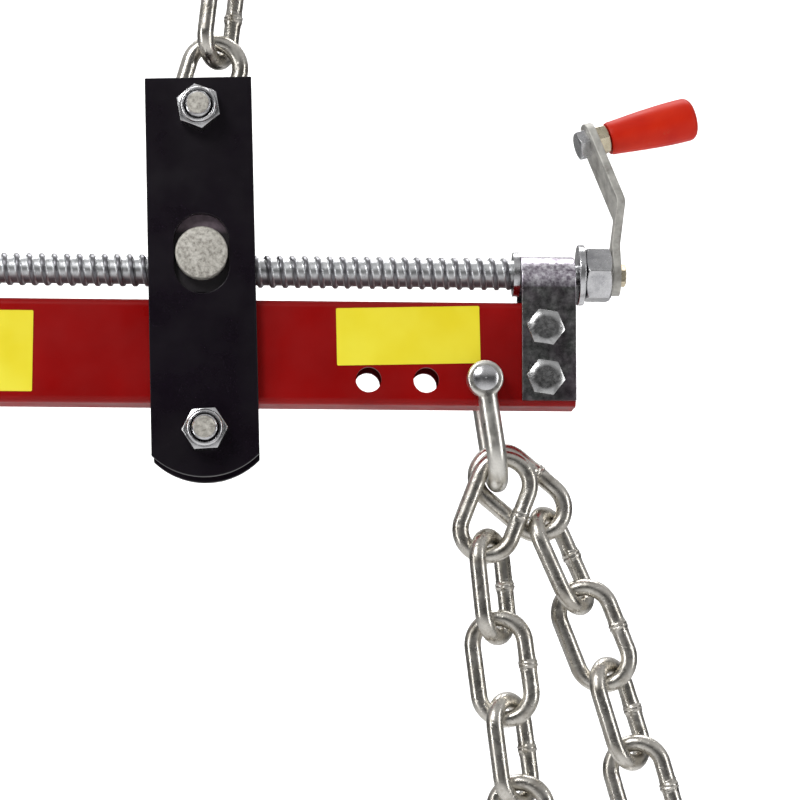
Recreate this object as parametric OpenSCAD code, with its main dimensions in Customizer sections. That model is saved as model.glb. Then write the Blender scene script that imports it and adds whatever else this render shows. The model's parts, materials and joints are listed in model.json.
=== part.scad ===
// Engine load leveler: a red box beam hangs between two black plates and slides
// past them when the crank turns a long lead screw. Four chains hang from
// two shackles, each ending in a steel tab that bolts to an engine.
//
// Frame: millimetres, +Z up, +X towards the crank, -Y towards the label side.
// The origin is the centre of the lift ring, where the crane's hook holds it.

/* [Beam] */
// Length of the box beam
beam_len = 434; // [390:2:480]
// Height of the box beam
beam_h = 50; // [46:1:54]
// Depth of the box beam, front to back
beam_d = 25; // [23:0.5:26]
// Wall thickness of the box beam
beam_wall = 3; // [2:0.5:4]
// Outer corner radius of the box beam
beam_round = 3.5; // [3.5:0.5:6]
// Distance from the beam's middle to its nearest spare cross hole
first_hole_x = 118; // [110:1:122]
// Step from one cross hole to the next, outwards
hole_step = 27.5; // [24:0.5:29]
// Height of the cross holes over the middle of the beam
hole_z = -13; // [-15:1:-8]
// How far the trunnion stands from the beam's middle at rest, towards the crank
rest_travel = 38; // [0:1:60]

/* [Lead screw] */
// Outer diameter of the screw thread
screw_d = 15.6; // [14:0.2:16]
// Height of the screw axis over the middle of the beam
screw_z = 40.4; // [39:0.1:40.6]
// Diameter of the plain journal at each end of the screw
journal_d = 9.5; // [9:0.5:9.5]
// Diameter of the thrust collar inside each bracket
collar_d = 21.5; // [19:0.5:22]
// Diameter of the washer outside each bracket
washer_d = 29.4; // [26:0.2:30]
// Width across flats of the nut outside each bracket
end_nut_af = 24; // [19:1:24]

/* [Hanger] */
// Width of a hanger plate
plate_w = 51; // [48:1:54]
// Thickness of a hanger plate
plate_t = 4.5; // [4:0.5:6]
// Gap between the hanger plates
plate_gap = 27; // [27:0.5:29]
// Height of the plates' square top over the middle of the beam
plate_top = 131.5; // [126:0.5:136]
// Height of the plates' rounded bottom over the middle of the beam
plate_bottom = -60.5; // [-64:0.5:-58]
// Radius of the arc along the bottom of a plate
plate_arc_r = 36; // [30:1:50]
// Height of the upper bolt over the middle of the beam
top_bolt_z = 115.8; // [110:0.2:118]
// Height of the lower bolt over the middle of the beam
low_bolt_z = -38.5; // [-40:0.5:-38]
// Diameter of both hanger bolts
hanger_bolt_d = 12; // [12:1:12]
// Height of the trunnion pins over the middle of the beam
pin_z = 46.4; // [43:0.1:47]
// Diameter of the trunnion pins
pin_d = 25; // [22:1:25]
// Height of the vertical slots that guide the trunnion pins
slot_h = 38.5; // [36:0.5:44]
// Height of the slots' centre over the middle of the beam
slot_z = 46.2; // [44:0.1:47]
// Diameter of the roller under the beam
roller_d = 22; // [20:1:22]
// Lean of the hanger at rest, its lower end towards the crank
hanger_lean = 1.8; // [-4:0.1:4]

/* [Crank] */
// Distance from the screw axis to the grip, along the arm
crank_throw = 77; // [60:1:90]
// Width of the flat crank arm
arm_w = 20; // [16:1:22]
// Thickness of the flat crank arm
arm_t = 4.2; // [3:0.2:5]
// Turn of the crank about the screw axis at rest
crank_turn = -22; // [-180:1:180]
// Lean of the arm's upper part, back over the beam
arm_lean = 17; // [0:1:20]
// Length of the grip
grip_len = 45; // [40:1:60]
// Diameter of the grip next to the arm
grip_near_d = 16.5; // [13:0.5:18]
// Diameter of the grip at its rounded end
grip_far_d = 21.5; // [18:0.5:24]

/* [Chains] */
// Diameter of the chain wire
wire_d = 8; // [7.5:0.1:8.2]
// Pitch of the chain, which is also the inside length of a link
pitch = 40; // [39:0.5:41]
// Inside width of a link
link_gap = 17; // [16.6:0.2:18]
// Links in each of the four load chains
links = 5; // [3:1:5]
// Diameter of the shackle wire
shackle_wire_d = 9.5; // [9:0.5:10]
// Distance from the shackle pin to the centre of the bow
shackle_drop = 29.5; // [29:0.1:36]
// Lean of both shackles at rest
shackle_lean = 9.5; // [-10:0.5:12]
// Diameter of the shackle pin
shackle_pin_d = 12; // [10:1:12]
// Inside diameter of the lift ring
ring_gap = 50; // [46:1:60]
// Diameter of the lift ring's wire
ring_wire_d = 10; // [9:0.5:12]

/* [Engine tabs] */
// Width of a tab
tab_w = 38; // [34:1:44]
// Length of a tab
tab_len = 78; // [74:1:90]
// Thickness of a tab
tab_t = 6; // [5:0.5:6]
// Distance between the two holes of a tab
tab_hole_step = 50; // [46:1:52]
// Diameter of the hole for the engine bolt
tab_bolt_hole_d = 13; // [11:0.5:14]

/* [Labels] */
// Length of the label near the crank
label_right_len = 68.5; // [40:0.5:72]
// Length of the label at the other end
label_left_len = 60; // [40:0.5:70]
// Thickness of both labels
label_t = 0.25; // [0.2:0.05:0.5]

/* [Hidden] */
$fn = 64;
// Gap that lets one piece turn in another, on the radius.
running_gap = 0.08;
// Gap between pieces that only pass each other.
slack = 0.2;

// The cross holes, counted outwards. The last one holds the shackle.
hole_x = [for (i = [0 : 2]) first_hole_x + i * hole_step];
shackle_x = hole_x[2];
hole_d = shackle_pin_d + 2 * running_gap;

// End brackets: a strap bent over the beam and the screw's journal.
strap_t = 3;
strap_w = 26;
strap_top = 49;
strap_bottom = -22.5;
strap_inner_r = beam_d / 2 + 0.1;
strap_arc_z = strap_top - strap_t - strap_inner_r;
strap_x = beam_len / 2 - strap_w / 2;
strap_bolt_x = strap_x - 2;
strap_bolt_z = [-12, 12];
strap_bolt_d = 10;
block_w = 19;

// Screw end stack, outwards from the bracket, on the right.
stack_x = beam_len / 2 + 2;
washer_t = 3.2;
end_nut_h = 13;
arm_x = stack_x + washer_t + end_nut_h + arm_t / 2 + 2 * 0.1;
collar_t = 3;
collar_x = strap_x - strap_w / 2 - collar_t / 2 - 0.3;

// Hanger.
pin_reach = plate_gap / 2 + plate_t + 2;
block_top = 66;
block_bottom = beam_h / 2 + 2.5;
sleeve_d = 16;

// Crank arm path: up from the screw, a small jog outwards, then the lean.
arm_knee = [4, 37.6];
arm_foot = 12;
arm_rise = crank_throw - arm_knee[1];
arm_head = [arm_knee[0] - arm_rise * tan(arm_lean), crank_throw];
grip_bolt_d = 8;
grip_nut_h = 6.5;
grip_head_h = 5.3;

// Chain: bows are half rings joined by straight legs.
wire_r = wire_d / 2;
bow_r = link_gap / 2 + wire_r;
leg_len = pitch - link_gap;
link_step = link_gap - 1;
shackle_gap = plate_gap + 1;
shackle_bow_r = (shackle_gap + shackle_wire_d) / 2;
ring_r = (ring_gap + ring_wire_d) / 2;

// Turn of each link about its own length, in a load chain and over the hanger.
LINK_TURNS = [0, 58, -10, 52, -12];
TOP_TURNS = [0, 62, 0];

// Each load chain: name, side, row, seat of its first link on the shackle's
// bow as [x, z], and the lean of its links.
STRANDS = [
    ["right_front", 1, -1, [2.2, -2], [-21, 6, 7.5, 7.5, 6]],
    ["right_rear", 1, 1, [1.9, 2.3], [50, 24, 21.5, 17, 16]],
    ["left_front", -1, -1, [-1.5, -2.6], [-28, -15, -13, -11, -9]],
    ["left_rear", -1, 1, [2.2, -2.1], [30, 16, 10, 8, 6]]
];
row_y = wire_r + 0.75;

// Lean of the three links over the hanger, from the ring down.
TOP_LEANS = [25, -6, -16];

function strand_name(s) = STRANDS[s][0];
function strand_side(s) = STRANDS[s][1];
function lean(s, i) = STRANDS[s][4][i];
function down(a) = [sin(a), 0, -cos(a)];
function tilted(v, a) = [v[0] * cos(a) - v[2] * sin(a), v[1], v[0] * sin(a) + v[2] * cos(a)];
// Two links bend where they meet in the plane of whichever is seen face-on.
function meet_lean(i, upper, lower) = i % 2 == 0 ? lower : upper;

// Top chain: where each upper bow is centred, from the ring down.
ring_seat = bow_r - wire_r - ring_wire_d / 2 - 0.1;
function top_bow(i) = i == 0
    ? [0, 0, -ring_r] + ring_seat * down(TOP_LEANS[0])
    : top_bow(i - 1) + leg_len * down(TOP_LEANS[i - 1])
        + link_step * down(meet_lean(i - 1, TOP_LEANS[i - 1], TOP_LEANS[i]));
bolt_seat = bow_r - wire_r - hanger_bolt_d / 2 - 0.1;
top_bolt = top_bow(2) + (leg_len + bolt_seat) * down(TOP_LEANS[2]);

// The beam's place follows from the trunnion's, and that from the upper bolt's.
trunnion_at = top_bolt + (top_bolt_z - pin_z) * down(hanger_lean);
beam_at = trunnion_at - [rest_travel, 0, pin_z];

// Load chains: the first bow sits on the shackle's bow, the rest follow.
shackle_down = [0, 0, -(shackle_drop + sqrt(pow(shackle_bow_r, 2) - pow(row_y, 2)))];
function shackle_pin(side) = beam_at + [side * shackle_x, 0, hole_z];
function bow_wire(s) = shackle_pin(strand_side(s))
    + tilted(shackle_down, shackle_lean) + [0, STRANDS[s][2] * row_y, 0];
function link_bow(s, i) = i == 0
    ? bow_wire(s) + [STRANDS[s][3][0], 0, STRANDS[s][3][1]]
    : link_bow(s, i - 1) + leg_len * down(lean(s, i - 1))
        + link_step * down(meet_lean(i - 1, lean(s, i - 1), lean(s, i)));
function last_wire(s) = link_bow(s, links - 1) + leg_len * down(lean(s, links - 1))
    + bow_r * down(lean(s, links - 1));

function link_node(s, i) = str(strand_name(s), "_link_", i + 1);
function tab_node(s) = str(strand_name(s), "_engine_tab");

// ---------- Shared shapes ----------

module bar_x(d, len) {
    rotate([0, 90, 0]) cylinder(d = d, h = len, center = true);
}

module bar_y(d, len) {
    rotate([90, 0, 0]) cylinder(d = d, h = len, center = true);
}

// Rounded rectangle with true arcs in its corners.
module rounded_rect(w, h, r) {
    square([w - 2 * r, h], center = true);
    square([w, h - 2 * r], center = true);
    for (x = [-1, 1], y = [-1, 1]) {
        translate([x * (w / 2 - r), y * (h / 2 - r)]) circle(r = r);
    }
}

// Profile in Y and Z, drawn out along X from the middle.
module along_x(len) {
    rotate([90, 0, 90]) linear_extrude(height = len, center = true) children();
}

// Profile in X and Z, drawn out along Y from the middle.
module along_y(len) {
    rotate([90, 0, 0]) linear_extrude(height = len, center = true) children();
}

// Hexagon prism up from z = 0, with its top corners turned off.
module hex_prism(af, h) {
    corner_d = af / cos(30);
    intersection() {
        cylinder(d = corner_d, h = h, $fn = 6);
        union() {
            cylinder(d = corner_d + 1, h = h - 0.12 * af);
            translate([0, 0, h - 0.12 * af]) {
                cylinder(d1 = corner_d + 0.1, d2 = 0.9 * af, h = 0.12 * af);
            }
        }
    }
}

module hex_nut(af, h, hole_d) {
    difference() {
        hex_prism(af, h);
        translate([0, 0, -1]) cylinder(d = hole_d, h = h + 2);
    }
}

module tube(outer_d, inner_d, h) {
    difference() {
        cylinder(d = outer_d, h = h, center = true);
        cylinder(d = inner_d, h = h + 1, center = true);
    }
}

// Half ring of wire, open downwards, in the XZ plane around the origin.
module half_ring(r, d) {
    rotate([90, 0, 0]) rotate_extrude(angle = 180) translate([r, 0]) circle(d = d, $fn = 32);
}

// Chain link hanging from the centre of its upper bow, with a weld on one leg.
module link_shape() {
    half_ring(bow_r, wire_d);
    translate([0, 0, -leg_len]) mirror([0, 0, 1]) half_ring(bow_r, wire_d);
    for (x = [-bow_r, bow_r]) {
        translate([x, 0, -leg_len]) cylinder(d = wire_d, h = leg_len, $fn = 32);
    }
    translate([bow_r, 0, -leg_len / 2]) {
        rotate_extrude($fn = 32) translate([wire_r - 0.6, 0]) circle(r = 1.3, $fn = 16);
    }
}

module placed_link(bow, a, turn) {
    color("silver") translate(bow) rotate([0, -a, 0]) rotate([0, 0, turn]) link_shape();
}

// ---------- Top chain and lift ring ----------

module lift_ring() {
    color("silver") rotate([0, 90, 0]) rotate_extrude() {
        translate([ring_r, 0]) circle(d = ring_wire_d, $fn = 32);
    }
}

module top_link(i) {
    placed_link(top_bow(i), TOP_LEANS[i], TOP_TURNS[i]);
}

// ---------- Hanger ----------

module plate_outline() {
    side_bottom = plate_bottom + plate_arc_r - sqrt(pow(plate_arc_r, 2) - pow(plate_w / 2, 2));
    translate([-plate_w / 2, side_bottom]) square([plate_w, plate_top - side_bottom]);
    intersection() {
        translate([0, plate_bottom + plate_arc_r]) circle(r = plate_arc_r, $fn = 128);
        translate([-plate_w / 2, plate_bottom - 1]) {
            square([plate_w, side_bottom - plate_bottom + 2]);
        }
    }
}

module slot_outline() {
    slot_w = pin_d + 1.2;
    half = (slot_h - slot_w) / 2;
    translate([0, slot_z]) {
        square([slot_w, 2 * half], center = true);
        for (z = [-half, half]) translate([0, z]) circle(d = slot_w);
    }
}

// Everything in the hanger: heights over the beam's middle, leaning as one.
module at_hanger() {
    translate(trunnion_at) rotate([0, -hanger_lean, 0]) translate([0, 0, -pin_z]) children();
}

module hanger_plate(side) {
    color([0.09, 0.08, 0.09]) at_hanger() {
        translate([0, side * (plate_gap + plate_t) / 2, 0]) difference() {
            along_y(plate_t) difference() {
                plate_outline();
                slot_outline();
            }
            for (z = [top_bolt_z, low_bolt_z]) {
                translate([0, 0, z]) bar_y(hanger_bolt_d + 2 * slack, plate_t + 1);
            }
        }
    }
}

module hanger_plate_front() {
    hanger_plate(-1);
}

module hanger_plate_rear() {
    hanger_plate(1);
}

module hanger_bolts() {
    head_h = 7.5;
    tip = 2.5;
    nut_h = 12.5;
    rear = plate_gap / 2 + plate_t;
    shank = 2 * rear + nut_h + tip;
    color("silver") at_hanger() for (z = [top_bolt_z, low_bolt_z]) {
        translate([0, rear, z]) {
            rotate([-90, 0, 0]) hex_prism(18, head_h);
            rotate([90, 0, 0]) cylinder(d = hanger_bolt_d, h = shank - 1);
            rotate([90, 0, 0]) translate([0, 0, shank - 1]) {
                cylinder(d1 = hanger_bolt_d, d2 = hanger_bolt_d - 2, h = 1);
            }
        }
    }
}

// Locking nuts: a hexagon with a round collar that holds the locking insert.
module hanger_nuts() {
    hex_h = 9;
    collar_h = 3.5;
    collar_od = 17;
    hole = hanger_bolt_d + 0.1;
    color("silver") at_hanger() for (z = [top_bolt_z, low_bolt_z]) {
        translate([0, -plate_gap / 2 - plate_t, z]) rotate([90, 0, 0]) rotate([0, 0, 10]) {
            hex_nut(19, hex_h, hole);
            translate([0, 0, hex_h + collar_h / 2]) tube(collar_od, hole, collar_h);
        }
    }
}

module top_spacers() {
    len = plate_gap / 2 - wire_r - 0.2;
    color("gray") translate(top_bolt) for (side = [-1, 1]) {
        translate([0, side * (plate_gap - len) / 2, 0]) rotate([90, 0, 0]) {
            tube(20, hanger_bolt_d + 2 * slack, len);
        }
    }
}

module roller_sleeve() {
    color("gray") at_hanger() translate([0, 0, low_bolt_z]) rotate([90, 0, 0]) {
        tube(sleeve_d, hanger_bolt_d + slack, plate_gap);
    }
}

module roller() {
    len = plate_gap - 1.4;
    color("dimgray") at_hanger() translate([0, 0, low_bolt_z]) rotate([90, 0, 0]) {
        tube(roller_d, sleeve_d + 2 * running_gap, len);
    }
}

module trunnion_nut() {
    block_d = plate_gap - 1;
    block_width = 36;
    color([0.72, 0.7, 0.67]) translate(trunnion_at - [0, 0, pin_z]) difference() {
        union() {
            along_y(block_d) translate([0, (block_top + block_bottom) / 2]) {
                rounded_rect(block_width, block_top - block_bottom, 2);
            }
            translate([0, 0, pin_z]) bar_y(pin_d, 2 * pin_reach);
        }
        translate([0, 0, screw_z]) bar_x(screw_d + 2 * running_gap, block_width + 1);
    }
}

// ---------- Beam ----------

module beam() {
    color([0.62, 0.05, 0.05]) translate(beam_at) difference() {
        along_x(beam_len) difference() {
            rounded_rect(beam_d, beam_h, beam_round);
            rounded_rect(beam_d - 2 * beam_wall, beam_h - 2 * beam_wall, beam_round - beam_wall);
        }
        for (side = [-1, 1], x = hole_x) {
            translate([side * x, 0, hole_z]) bar_y(hole_d, beam_d + 1);
        }
        for (side = [-1, 1], z = strap_bolt_z) {
            translate([side * strap_bolt_x, 0, z]) bar_y(strap_bolt_d + slack, beam_d + 1);
        }
    }
}

module strap_outline(r, bottom) {
    translate([-r, bottom]) square([2 * r, strap_arc_z - bottom]);
    translate([0, strap_arc_z]) circle(r = r);
}

module bracket(side) {
    color([0.62, 0.6, 0.62]) translate(beam_at + [side * strap_x, 0, 0]) difference() {
        along_x(strap_w) difference() {
            strap_outline(strap_inner_r + strap_t, strap_bottom);
            strap_outline(strap_inner_r, strap_bottom - 1);
        }
        for (z = strap_bolt_z) {
            translate([side * (strap_bolt_x - strap_x), 0, z]) {
                bar_y(strap_bolt_d + slack, beam_d + 3 * strap_t);
            }
        }
    }
}

module bracket_left() {
    bracket(-1);
}

module bracket_right() {
    bracket(1);
}

// Block that fills the strap over the beam and carries the screw's journal.
module bearing_block(side) {
    color("gray") translate(beam_at + [side * strap_x, 0, 0]) difference() {
        along_x(block_w) intersection() {
            strap_outline(strap_inner_r - 0.1, beam_h / 2);
            translate([-beam_d, beam_h / 2 + 0.1]) square([2 * beam_d, beam_d]);
        }
        translate([0, 0, screw_z]) bar_x(journal_d + 2 * running_gap, block_w + 1);
    }
}

module bearing_block_left() {
    bearing_block(-1);
}

module bearing_block_right() {
    bearing_block(1);
}

module bracket_bolts() {
    face = strap_inner_r + strap_t;
    reach = 2 * face + 10;
    color("silver") translate(beam_at) for (side = [-1, 1], z = strap_bolt_z) {
        translate([side * strap_bolt_x, -face, z]) {
            rotate([90, 0, 0]) rotate([0, 0, 22]) hex_prism(16, 6.4);
            rotate([-90, 0, 0]) cylinder(d = strap_bolt_d, h = reach);
        }
    }
}

module bracket_nuts() {
    face = strap_inner_r + strap_t;
    color("silver") translate(beam_at) for (side = [-1, 1], z = strap_bolt_z) {
        translate([side * strap_bolt_x, face, z]) rotate([-90, 0, 0]) {
            hex_nut(16, 8.4, strap_bolt_d + 0.1);
        }
    }
}

// Plain stickers on the front of the beam.
module labels() {
    front = -beam_d / 2 - label_t / 2;
    right_at = [136.8, front, 8.2];
    right_h = 27.6;
    right_turn = 1.5;
    left_at = [-71.4, front, -0.7];
    left_h = 38.8;
    color([0.97, 0.93, 0.2]) translate(beam_at) {
        translate(right_at) rotate([0, -right_turn, 0]) {
            cube([label_right_len, label_t, right_h], center = true);
        }
        translate(left_at) cube([label_left_len, label_t, left_h], center = true);
    }
}

// ---------- Lead screw and crank ----------

module at_screw() {
    translate(beam_at + [0, 0, screw_z]) children();
}

// Threaded between the collars, plain in the journals, squared for the crank.
module lead_screw() {
    thread_len = 2 * (collar_x + collar_t / 2);
    right = arm_x + arm_t / 2 + 3;
    left = stack_x + washer_t + end_nut_h + 3;
    color([0.75, 0.75, 0.76]) at_screw() {
        bar_x(screw_d, thread_len);
        rotate([0, 90, 0]) translate([0, 0, -left]) {
            cylinder(d = journal_d, h = left + arm_x - arm_t / 2 - 0.2);
        }
        rotate([0, 90, 0]) cylinder(d = 8.4, h = right);
    }
}

module thrust_collars() {
    color("silver") at_screw() for (side = [-1, 1]) {
        translate([side * collar_x, 0, 0]) rotate([0, 90, 0]) {
            tube(collar_d, screw_d + 0.1, collar_t);
        }
    }
}

module screw_washers() {
    color("silver") at_screw() for (side = [-1, 1]) {
        translate([side * (stack_x + washer_t / 2), 0, 0]) rotate([0, 90, 0]) {
            tube(washer_d, journal_d + 0.1, washer_t);
        }
    }
}

module screw_end_nuts() {
    color("silver") at_screw() for (side = [-1, 1]) {
        mirror([side < 0 ? 1 : 0, 0, 0]) translate([stack_x + washer_t + 0.1, 0, 0]) {
            rotate([0, 90, 0]) rotate([0, 0, 30]) hex_nut(end_nut_af, end_nut_h, journal_d + 0.1);
        }
    }
}

// Strip along a path in the XZ plane. The arcs at its bends stand a little proud.
module strip(path) {
    bend_d = arm_t + 0.2;
    for (i = [0 : len(path) - 2]) {
        step = path[i + 1] - path[i];
        translate(path[i]) rotate(atan2(step[1], step[0])) {
            translate([0, -arm_t / 2]) square([norm(step), arm_t]);
        }
    }
    for (i = [1 : len(path) - 2]) translate(path[i]) circle(d = bend_d);
}

// The crank's own frame: origin on the screw axis, +Z out along the arm.
module at_crank() {
    at_screw() translate([arm_x, 0, 0]) rotate([crank_turn, 0, 0]) children();
}

// The grip's own frame: origin on the arm's middle, +Z out along the grip.
module at_grip() {
    at_crank() translate([arm_head[0], 0, arm_head[1]]) rotate([0, 90 - arm_lean, 0]) children();
}

module crank_arm() {
    over = arm_w / 2;
    spare = over + 2;
    tip = arm_head + spare * [-sin(arm_lean), cos(arm_lean)];
    color([0.7, 0.69, 0.66]) difference() {
        at_crank() intersection() {
            along_y(arm_w) strip([[0, -spare], [0, arm_foot], arm_knee, tip]);
            along_x(60) {
                translate([-over, 0]) square([arm_w, crank_throw]);
                circle(r = over);
                translate([0, crank_throw]) circle(r = over);
            }
        }
        at_crank() bar_x(8.5, 3 * arm_t);
        at_grip() cylinder(d = grip_bolt_d + slack, h = 3 * arm_t, center = true);
    }
}

module grip_bolt() {
    shank = grip_nut_h + arm_t / 2 + grip_len - 9;
    color("silver") at_grip() {
        mirror([0, 0, 1]) translate([0, 0, arm_t / 2]) hex_prism(13, grip_head_h);
        translate([0, 0, -arm_t / 2]) cylinder(d = grip_bolt_d, h = shank);
    }
}

module grip_nut() {
    color([0.8, 0.74, 0.6]) at_grip() translate([0, 0, arm_t / 2]) {
        rotate([0, 0, 12]) hex_nut(13, grip_nut_h, grip_bolt_d + 0.1);
    }
}

// Tapered grip, turned, with a rounded far end and a blind bore.
module grip() {
    far_r = grip_far_d / 2;
    near_r = grip_near_d / 2;
    edge_r = 4;
    color([0.87, 0.18, 0.06]) at_grip() translate([0, 0, arm_t / 2 + grip_nut_h + 0.3]) {
        difference() {
            union() {
                cylinder(r1 = near_r, r2 = far_r, h = grip_len * 0.62);
                translate([0, 0, grip_len * 0.62]) cylinder(r = far_r, h = grip_len * 0.38 - edge_r);
                translate([0, 0, grip_len - edge_r]) cylinder(r = far_r - edge_r, h = edge_r);
                translate([0, 0, grip_len - edge_r]) rotate_extrude() {
                    intersection() {
                        translate([far_r - edge_r, 0]) circle(r = edge_r, $fn = 32);
                        square([far_r + 1, edge_r + 1]);
                    }
                }
            }
            translate([0, 0, -1]) cylinder(d = grip_bolt_d + 2 * running_gap, h = grip_len - 8);
        }
    }
}

// ---------- Shackles ----------

module at_shackle(side) {
    translate(shackle_pin(side)) rotate([0, -shackle_lean, 0]) children();
}

module shackle(side) {
    eye_d = 17.4;
    color([0.74, 0.73, 0.7]) at_shackle(side) difference() {
        union() {
            for (y = [-shackle_bow_r, shackle_bow_r]) {
                translate([0, y, 0]) bar_y(eye_d, shackle_wire_d);
                translate([0, y, -shackle_drop]) cylinder(d = shackle_wire_d, h = shackle_drop);
            }
            translate([0, 0, -shackle_drop]) rotate([0, 0, 90]) mirror([0, 0, 1]) {
                half_ring(shackle_bow_r, shackle_wire_d);
            }
        }
        bar_y(shackle_pin_d + 0.1, 4 * shackle_bow_r);
    }
}

module shackle_left() {
    shackle(-1);
}

module shackle_right() {
    shackle(1);
}

// Screw pin with a domed tip in front and a drilled flat head behind.
module shackle_pin_shape() {
    face = shackle_bow_r + shackle_wire_d / 2;
    dome_h = 1.6;
    dome_r = (pow(shackle_pin_d / 2, 2) + pow(dome_h, 2)) / (2 * dome_h);
    rotate([90, 0, 0]) cylinder(d = shackle_pin_d, h = 2 * face, center = true);
    translate([0, -face, 0]) rotate([90, 0, 0]) intersection() {
        translate([0, 0, dome_h - dome_r]) sphere(r = dome_r, $fn = 64);
        cylinder(d = shackle_pin_d, h = dome_h + 1);
    }
    translate([0, face, 0]) rotate([-90, 0, 0]) cylinder(d = 16, h = 3);
    difference() {
        intersection() {
            translate([0, face + 3 + 5, 0]) bar_x(15, 5);
            translate([0, face + 3 + 8, 0]) cube([6, 18, 16], center = true);
        }
        translate([0, face + 3 + 6, 0]) bar_x(4.5, 8);
    }
}

module shackle_pin_left() {
    color("silver") at_shackle(-1) shackle_pin_shape();
}

module shackle_pin_right() {
    color("silver") at_shackle(1) shackle_pin_shape();
}

// ---------- Load chains ----------

module chain_link(s, i) {
    placed_link(link_bow(s, i), lean(s, i), LINK_TURNS[i]);
}

// Flat steel tab on the last link, with a hole for the engine bolt.
module engine_tab(s) {
    wire_hole_d = 14;
    edge = 12.5;
    hang = wire_hole_d / 2 - wire_r - 0.6;
    color([0.66, 0.65, 0.63]) translate(last_wire(s)) rotate([0, -lean(s, links - 1), 0]) {
        rotate([0, 0, LINK_TURNS[links - 1]]) translate([0, 0, -hang]) difference() {
            along_x(tab_t) translate([0, edge - tab_len / 2]) rounded_rect(tab_w, tab_len, 8);
            bar_x(wire_hole_d, tab_t + 1);
            translate([0, 0, -tab_hole_step]) bar_x(tab_bolt_hole_d, tab_t + 1);
        }
    }
}

// ---------- Assembly ----------

lift_ring();
top_link(2);  // top_link_1
top_link(1);  // top_link_2
top_link(0);  // top_link_3
hanger_plate_front();
hanger_plate_rear();
hanger_bolts();
hanger_nuts();
top_spacers();
roller_sleeve();
roller();
trunnion_nut();
beam();
bracket_left();
bracket_right();
bearing_block_left();
bearing_block_right();
bracket_bolts();
bracket_nuts();
labels();
lead_screw();
thrust_collars();
screw_washers();
screw_end_nuts();
crank_arm();
grip_bolt();
grip_nut();
grip();
shackle_left();
shackle_right();
shackle_pin_left();
shackle_pin_right();
for (s = [0 : 3]) {
    for (i = [0 : links - 1]) {
        chain_link(s, i);
    }
    engine_tab(s);
}
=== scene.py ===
import json
import math

import bmesh
import bpy
import numpy as np
from mathutils import Matrix, Vector


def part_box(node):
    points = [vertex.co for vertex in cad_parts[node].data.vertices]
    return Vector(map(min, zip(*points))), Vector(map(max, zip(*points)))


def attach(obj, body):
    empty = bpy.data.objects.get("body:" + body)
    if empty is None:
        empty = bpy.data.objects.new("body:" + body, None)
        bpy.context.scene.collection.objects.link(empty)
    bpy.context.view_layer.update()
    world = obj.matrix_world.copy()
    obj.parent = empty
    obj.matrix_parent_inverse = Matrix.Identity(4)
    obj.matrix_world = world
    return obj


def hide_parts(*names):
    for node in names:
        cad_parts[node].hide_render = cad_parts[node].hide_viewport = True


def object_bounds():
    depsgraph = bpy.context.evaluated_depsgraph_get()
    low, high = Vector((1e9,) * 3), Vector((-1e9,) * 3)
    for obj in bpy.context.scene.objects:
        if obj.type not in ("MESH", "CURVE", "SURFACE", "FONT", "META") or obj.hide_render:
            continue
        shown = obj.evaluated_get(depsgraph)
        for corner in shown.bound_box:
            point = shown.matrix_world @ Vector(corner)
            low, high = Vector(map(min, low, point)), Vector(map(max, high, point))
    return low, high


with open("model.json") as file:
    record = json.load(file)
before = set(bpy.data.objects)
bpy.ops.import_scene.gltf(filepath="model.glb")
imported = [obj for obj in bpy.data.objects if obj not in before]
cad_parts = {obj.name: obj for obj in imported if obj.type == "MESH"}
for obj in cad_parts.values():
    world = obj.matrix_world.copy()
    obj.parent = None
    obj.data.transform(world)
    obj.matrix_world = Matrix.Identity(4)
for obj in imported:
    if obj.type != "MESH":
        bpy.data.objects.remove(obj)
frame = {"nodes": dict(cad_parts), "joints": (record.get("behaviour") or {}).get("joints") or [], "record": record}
CAD_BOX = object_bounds()

MM = 0.001
TAU = 2 * math.pi
JOINTS = {j["name"]: j for j in frame["joints"]}
CAD = frame["nodes"]
ACROSS = (0, 1, 0)  # from the camera's side to the far side, as bolts and pins run
TOWARDS = (0, -1, 0)


def joint_at(name):
    return np.array(JOINTS[name]["pos_m"], float)


# ---------------------------------------------------------------- materials


class Nodes:
    """A node tree, built with a few short calls."""

    def __init__(self, tree):
        self.tree = tree

    def node(self, kind, **inputs):
        made = self.tree.nodes.new(kind)
        for key, value in inputs.items():
            self.put(made.inputs[key.replace("_", " ")], value)
        return made

    def put(self, socket, value):
        if isinstance(value, bpy.types.NodeSocket):
            self.tree.links.new(value, socket)
        else:
            socket.default_value = value

    def span(self, value, low, high, out_low, out_high):
        made = self.node("ShaderNodeMapRange", Value=value)
        made.inputs["From Min"].default_value = low
        made.inputs["From Max"].default_value = high
        made.inputs["To Min"].default_value = out_low
        made.inputs["To Max"].default_value = out_high
        return made.outputs["Result"]

    def ramp(self, value, stops):
        made = self.node("ShaderNodeValToRGB", Fac=value)
        elements = made.color_ramp.elements
        while len(elements) < len(stops):
            elements.new(0.5)
        for element, (at, colour) in zip(elements, stops):
            element.position = at
            element.color = (*colour, 1)
        return made.outputs["Color"]

    def mix(self, factor, a, b, mode="MIX"):
        made = self.node("ShaderNodeMix")
        made.data_type = "RGBA"
        made.blend_type = mode
        self.put(made.inputs[0], factor)
        for socket, value in ((made.inputs[6], a), (made.inputs[7], b)):
            self.put(socket, value if isinstance(value, bpy.types.NodeSocket) else (*value, 1))
        return made.outputs[2]


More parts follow.
